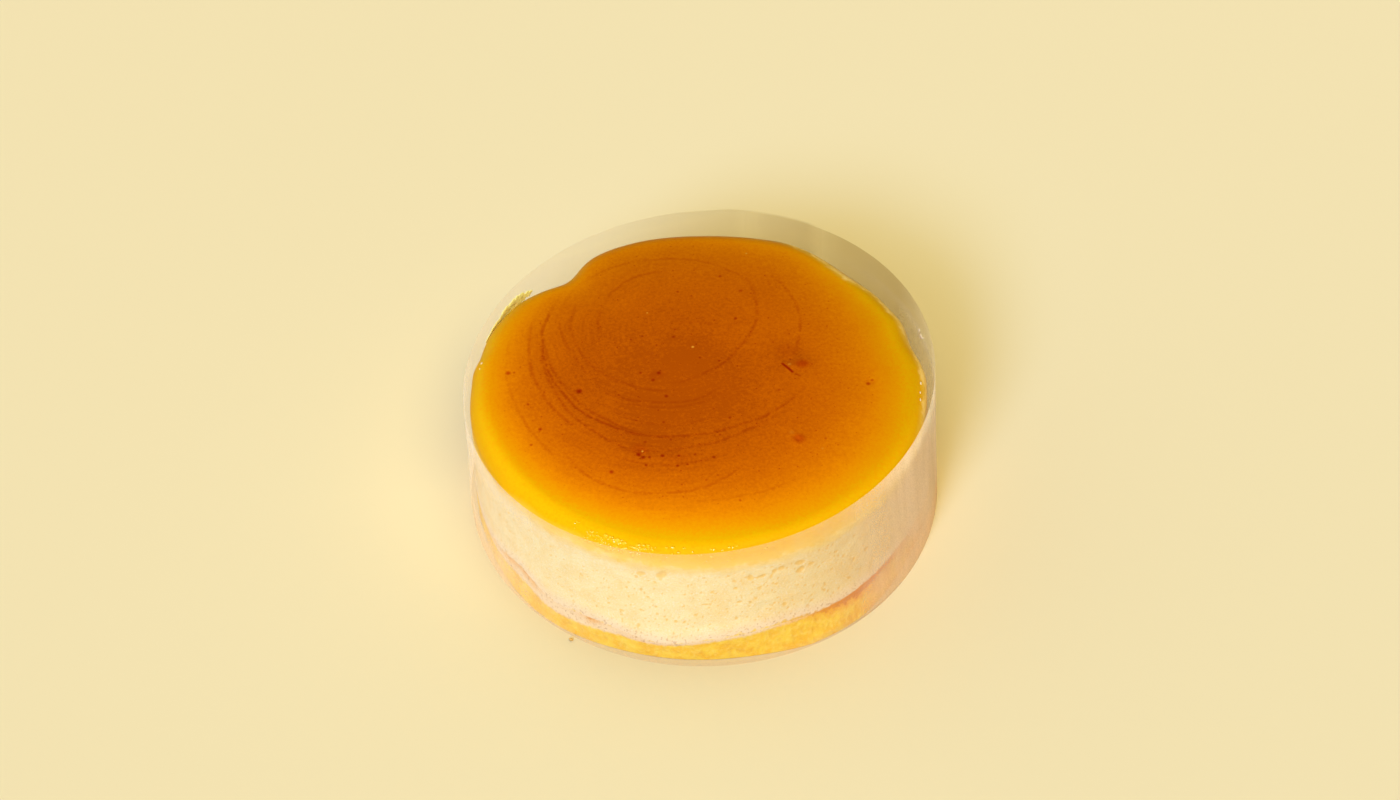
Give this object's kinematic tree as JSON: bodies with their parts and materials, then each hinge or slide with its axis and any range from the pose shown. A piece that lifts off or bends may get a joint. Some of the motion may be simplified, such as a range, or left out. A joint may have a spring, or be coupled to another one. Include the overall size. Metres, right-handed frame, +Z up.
{
  "type": "souffle cheesecake",
  "caption": "Whole round souffle cheesecake with a browned, glazed top on a thin sponge base, standing inside a clear film collar.",
  "frame": {"origin": "on the table under the middle of the film collar, at the bottom centre of the bounding box", "axes": "+Z up; the side towards the picture's viewer faces -Y; +X to the viewer's right"},
  "size_m": [0.1494, 0.152, 0.05],
  "materials": {
    "sponge": "dry yellow sponge cake with a browned skin",
    "cheesecake": "browned top with a thin glaze, golden at the shoulder and cream coloured and porous at the side",
    "film": "clear glossy film"
  },
  "bodies": {
    "root": {"sponge_base": "sponge", "cheesecake_body": "cheesecake", "film_collar": "film"}
  },
  "joints": []
}
